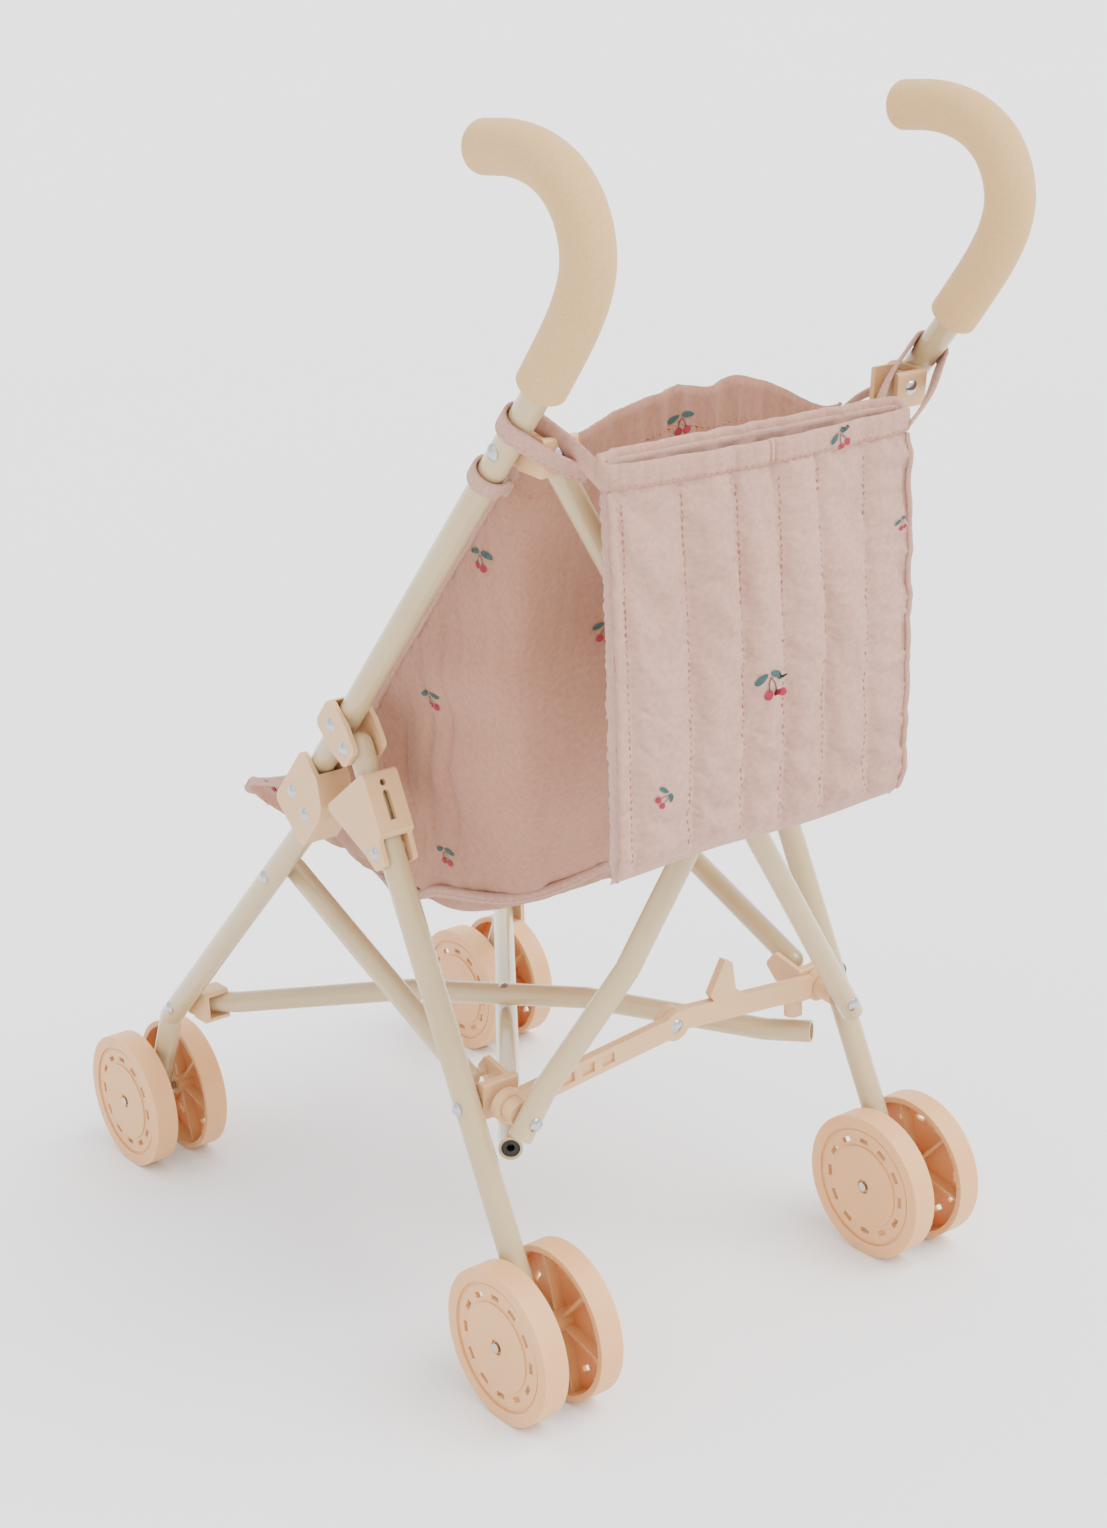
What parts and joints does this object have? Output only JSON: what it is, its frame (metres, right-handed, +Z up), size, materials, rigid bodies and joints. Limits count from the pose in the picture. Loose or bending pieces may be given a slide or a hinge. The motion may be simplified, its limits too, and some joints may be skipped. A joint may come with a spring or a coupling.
{
  "type": "doll stroller",
  "caption": "Umbrella-folding doll stroller with cane handles, twin wheels, scissor cross tubes, a fabric seat sling and a hanging quilted bag.",
  "frame": {"origin": "on the ground under the middle of the bounding box", "axes": "+Z up, front towards -Y, the stroller's left at +X"},
  "size_m": [0.2632, 0.4559, 0.5523],
  "materials": {
    "tube_paint": "gloss beige paint",
    "plastic": "satin warm beige",
    "wheel_plastic": "satin peach beige",
    "grip_foam": "fine-celled foam",
    "chrome": "bright",
    "tube_plug": "matt black",
    "cotton": "woven blush pink cotton"
  },
  "bodies": {
    "handle_l": {"handle_tube_l": "tube_paint", "grip_l": "grip_foam", "link_bracket_l": "plastic", "handle_rivets_l": "chrome", "seat_sling": "cotton", "bag": "cotton", "bag_strap_l": "cotton"},
    "handle_bracket_l": {"handle_bracket_l": "plastic", "handle_bracket_pin_l": "chrome"},
    "rear_cross_a": {"rear_cross_a": "tube_paint", "rear_cross_a_rivets": "chrome"},
    "rear_cross_b": {"rear_cross_b": "tube_paint", "rear_cross_b_rivet": "chrome"},
    "handle_bracket_r": {"handle_bracket_r": "plastic", "handle_bracket_pin_r": "chrome"},
    "handle_r": {"handle_tube_r": "tube_paint", "grip_r": "grip_foam", "link_bracket_r": "plastic", "handle_rivets_r": "chrome", "bag_strap_r": "cotton"},
    "rear_leg_l": {"rear_leg_l": "tube_paint", "rear_rivets_l": "chrome", "rear_axle_l": "chrome"},
    "front_leg_l": {"front_leg_l": "tube_paint", "hub_block_l": "plastic", "front_rivets_l": "chrome", "front_axle_l": "chrome"},
    "rear_bracket_l": {"rear_bracket_l": "plastic", "brace_stud_l": "plastic"},
    "side_strut_l": {"side_strut_l": "tube_paint"},
    "lock_catch_l": {"lock_catch_l": "plastic"},
    "front_clevis_l": {"front_clevis_l": "plastic"},
    "wheel_front_l_outer": {"wheel_front_l_outer": "wheel_plastic"},
    "wheel_front_l_inner": {"wheel_front_l_inner": "wheel_plastic"},
    "wheel_rear_l_outer": {"wheel_rear_l_outer": "wheel_plastic"},
    "wheel_rear_l_inner": {"wheel_rear_l_inner": "wheel_plastic"},
    "rear_leg_r": {"rear_leg_r": "tube_paint", "rear_rivets_r": "chrome", "rear_axle_r": "chrome"},
    "front_leg_r": {"front_leg_r": "tube_paint", "hub_block_r": "plastic", "front_rivets_r": "chrome", "front_axle_r": "chrome"},
    "rear_bracket_r": {"rear_bracket_r": "plastic", "brace_stud_r": "plastic"},
    "side_strut_r": {"side_strut_r": "tube_paint"},
    "lock_catch_r": {"lock_catch_r": "plastic"},
    "front_clevis_r": {"front_clevis_r": "plastic"},
    "wheel_front_r_outer": {"wheel_front_r_outer": "wheel_plastic"},
    "wheel_front_r_inner": {"wheel_front_r_inner": "wheel_plastic"},
    "wheel_rear_r_outer": {"wheel_rear_r_outer": "wheel_plastic"},
    "wheel_rear_r_inner": {"wheel_rear_r_inner": "wheel_plastic"},
    "bottom_cross_upper": {"bottom_cross_upper": "tube_paint", "bottom_cross_rivet": "chrome"},
    "bottom_cross_lower": {"bottom_cross_lower": "tube_paint", "tube_plug": "tube_plug"},
    "brace_l": {"brace_l": "plastic", "brace_rivet": "chrome"},
    "brace_r": {"brace_r": "plastic"}
  },
  "joints": [
    {"name": "handle_bracket_l_tilt", "type": "hinge", "parent": "handle_l", "child": "handle_bracket_l", "pos_m": [0.11, 0.15948, 0.42749], "axis": [1, 0, 0], "range_deg": [-19.44, 0]},
    {"name": "fold", "type": "hinge", "parent": "handle_bracket_l", "child": "rear_cross_a", "pos_m": [0.095, 0.16742, 0.42649], "axis": [0, -0.9921, 0.1251], "range_deg": [0, 19.55], "deforming": ["seat_sling", "bag"]},
    {"name": "rear_cross_centre", "type": "hinge", "parent": "rear_cross_a", "child": "rear_cross_b", "pos_m": [0, 0.14853, 0.27668], "axis": [0, -0.9921, 0.1251], "range_deg": [-39.12, 0]},
    {"name": "handle_bracket_r_pin", "type": "hinge", "parent": "rear_cross_b", "child": "handle_bracket_r", "pos_m": [-0.095, 0.16742, 0.42649], "axis": [0, -0.9921, 0.1251], "range_deg": [0, 19.57]},
    {"name": "handle_r_tilt", "type": "hinge", "parent": "handle_bracket_r", "child": "handle_r", "pos_m": [-0.11, 0.15948, 0.42749], "axis": [1, 0, 0], "range_deg": [0, 19.44]},
    {"name": "rear_leg_l_fold", "type": "hinge", "parent": "handle_l", "child": "rear_leg_l", "pos_m": [0.11, 0.03838, 0.28181], "axis": [1, 0, 0], "range_deg": [-41.24, 0]},
    {"name": "front_leg_l_fold", "type": "hinge", "parent": "handle_l", "child": "front_leg_l", "pos_m": [0.11, -0.009, 0.251], "axis": [1, 0, 0], "range_deg": [-78.06, 0]},
    {"name": "rear_bracket_l_tilt", "type": "hinge", "parent": "rear_leg_l", "child": "rear_bracket_l", "pos_m": [0.11, 0.10484, 0.13], "axis": [1, 0, 0], "range_deg": [0, 21.81]},
    {"name": "side_strut_l_pin", "type": "hinge", "parent": "rear_bracket_l", "child": "side_strut_l", "pos_m": [0.098, 0.08904, 0.135], "axis": [1, 0, 0], "range_deg": [-28.88, 0]},
    {"name": "lock_catch_l_flip", "type": "hinge", "parent": "rear_leg_l", "child": "lock_catch_l", "pos_m": [0.11, 0.05775, 0.23756], "axis": [1, 0, 0], "range_deg": [-70.02, 0]},
    {"name": "front_clevis_l_tilt", "type": "hinge", "parent": "front_leg_l", "child": "front_clevis_l", "pos_m": [0.11, -0.15884, 0.09607], "axis": [1, 0, 0], "range_deg": [0, 18.68]},
    {"name": "bottom_cross_upper_pin", "type": "hinge", "parent": "front_clevis_l", "child": "bottom_cross_upper", "pos_m": [0.0946, -0.14984, 0.09657], "axis": [0, 0, -1], "range_deg": [0, 22.98]},
    {"name": "brace_l_lift", "type": "hinge", "parent": "rear_bracket_l", "child": "brace_l", "pos_m": [0.095, 0.10484, 0.13], "axis": [0, 0.9921, -0.1251], "range_deg": [0, 59.91]},
    {"name": "wheel_front_l_outer_spin", "type": "hinge", "parent": "front_leg_l", "child": "wheel_front_l_outer", "pos_m": [0.125, -0.192, 0.036], "axis": [1, 0, 0], "continuous": true},
    {"name": "wheel_front_l_inner_spin", "type": "hinge", "parent": "front_leg_l", "child": "wheel_front_l_inner", "pos_m": [0.095, -0.192, 0.036], "axis": [1, 0, 0], "continuous": true},
    {"name": "wheel_rear_l_outer_spin", "type": "hinge", "parent": "rear_leg_l", "child": "wheel_rear_l_outer", "pos_m": [0.125, 0.146, 0.036], "axis": [1, 0, 0], "continuous": true},
    {"name": "wheel_rear_l_inner_spin", "type": "hinge", "parent": "rear_leg_l", "child": "wheel_rear_l_inner", "pos_m": [0.095, 0.146, 0.036], "axis": [1, 0, 0], "continuous": true},
    {"name": "rear_leg_r_fold", "type": "hinge", "parent": "handle_r", "child": "rear_leg_r", "pos_m": [-0.11, 0.03838, 0.28181], "axis": [1, 0, 0], "range_deg": [-41.24, 0]},
    {"name": "front_leg_r_fold", "type": "hinge", "parent": "handle_r", "child": "front_leg_r", "pos_m": [-0.11, -0.009, 0.251], "axis": [1, 0, 0], "range_deg": [-78.06, 0]},
    {"name": "rear_bracket_r_tilt", "type": "hinge", "parent": "rear_leg_r", "child": "rear_bracket_r", "pos_m": [-0.11, 0.10484, 0.13], "axis": [1, 0, 0], "range_deg": [0, 21.81]},
    {"name": "side_strut_r_pin", "type": "hinge", "parent": "rear_bracket_r", "child": "side_strut_r", "pos_m": [-0.098, 0.08904, 0.135], "axis": [1, 0, 0], "range_deg": [-28.88, 0]},
    {"name": "lock_catch_r_flip", "type": "hinge", "parent": "rear_leg_r", "child": "lock_catch_r", "pos_m": [-0.11, 0.05775, 0.23756], "axis": [1, 0, 0], "range_deg": [-70.02, 0]},
    {"name": "front_clevis_r_tilt", "type": "hinge", "parent": "front_leg_r", "child": "front_clevis_r", "pos_m": [-0.11, -0.15884, 0.09607], "axis": [1, 0, 0], "range_deg": [0, 18.68]},
    {"name": "bottom_cross_lower_pin", "type": "hinge", "parent": "front_clevis_r", "child": "bottom_cross_lower", "pos_m": [-0.0946, -0.14984, 0.09657], "axis": [0, 0, 1], "range_deg": [0, 22.98]},
    {"name": "brace_r_lift", "type": "hinge", "parent": "rear_bracket_r", "child": "brace_r", "pos_m": [-0.095, 0.10484, 0.13], "axis": [0, -0.9921, 0.1251], "range_deg": [0, 59.91]},
    {"name": "wheel_front_r_outer_spin", "type": "hinge", "parent": "front_leg_r", "child": "wheel_front_r_outer", "pos_m": [-0.125, -0.192, 0.036], "axis": [1, 0, 0], "continuous": true},
    {"name": "wheel_front_r_inner_spin", "type": "hinge", "parent": "front_leg_r", "child": "wheel_front_r_inner", "pos_m": [-0.095, -0.192, 0.036], "axis": [1, 0, 0], "continuous": true},
    {"name": "wheel_rear_r_outer_spin", "type": "hinge", "parent": "rear_leg_r", "child": "wheel_rear_r_outer", "pos_m": [-0.125, 0.146, 0.036], "axis": [1, 0, 0], "continuous": true},
    {"name": "wheel_rear_r_inner_spin", "type": "hinge", "parent": "rear_leg_r", "child": "wheel_rear_r_inner", "pos_m": [-0.095, 0.146, 0.036], "axis": [1, 0, 0], "continuous": true}
  ],
  "couplings": [
    {"joint": "handle_bracket_l_tilt", "follows": "fold", "ratio": -0.99349},
    {"joint": "rear_cross_centre", "follows": "fold", "ratio": -2},
    {"joint": "handle_bracket_r_pin", "follows": "fold", "ratio": 1},
    {"joint": "handle_r_tilt", "follows": "fold", "ratio": 0.99349},
    {"joint": "rear_leg_l_fold", "follows": "fold", "ratio": -2.1083},
    {"joint": "front_leg_l_fold", "follows": "fold", "ratio": -3.9918},
    {"joint": "rear_bracket_l_tilt", "follows": "fold", "ratio": 1.1148},
    {"joint": "side_strut_l_pin", "follows": "fold", "ratio": -1.4761},
    {"joint": "lock_catch_l_flip", "follows": "fold", "ratio": -3.5806},
    {"joint": "front_clevis_l_tilt", "follows": "fold", "ratio": 0.95446},
    {"joint": "bottom_cross_upper_pin", "follows": "fold", "ratio": 1.1743},
    {"joint": "brace_l_lift", "follows": "fold", "ratio": 3.0635},
    {"joint": "rear_leg_r_fold", "follows": "fold", "ratio": -2.1083},
    {"joint": "front_leg_r_fold", "follows": "fold", "ratio": -3.9918},
    {"joint": "rear_bracket_r_tilt", "follows": "fold", "ratio": 1.1148},
    {"joint": "side_strut_r_pin", "follows": "fold", "ratio": -1.4761},
    {"joint": "lock_catch_r_flip", "follows": "fold", "ratio": -3.5806},
    {"joint": "front_clevis_r_tilt", "follows": "fold", "ratio": 0.95446},
    {"joint": "bottom_cross_lower_pin", "follows": "fold", "ratio": 1.1743},
    {"joint": "brace_r_lift", "follows": "fold", "ratio": 3.0635}
  ]
}
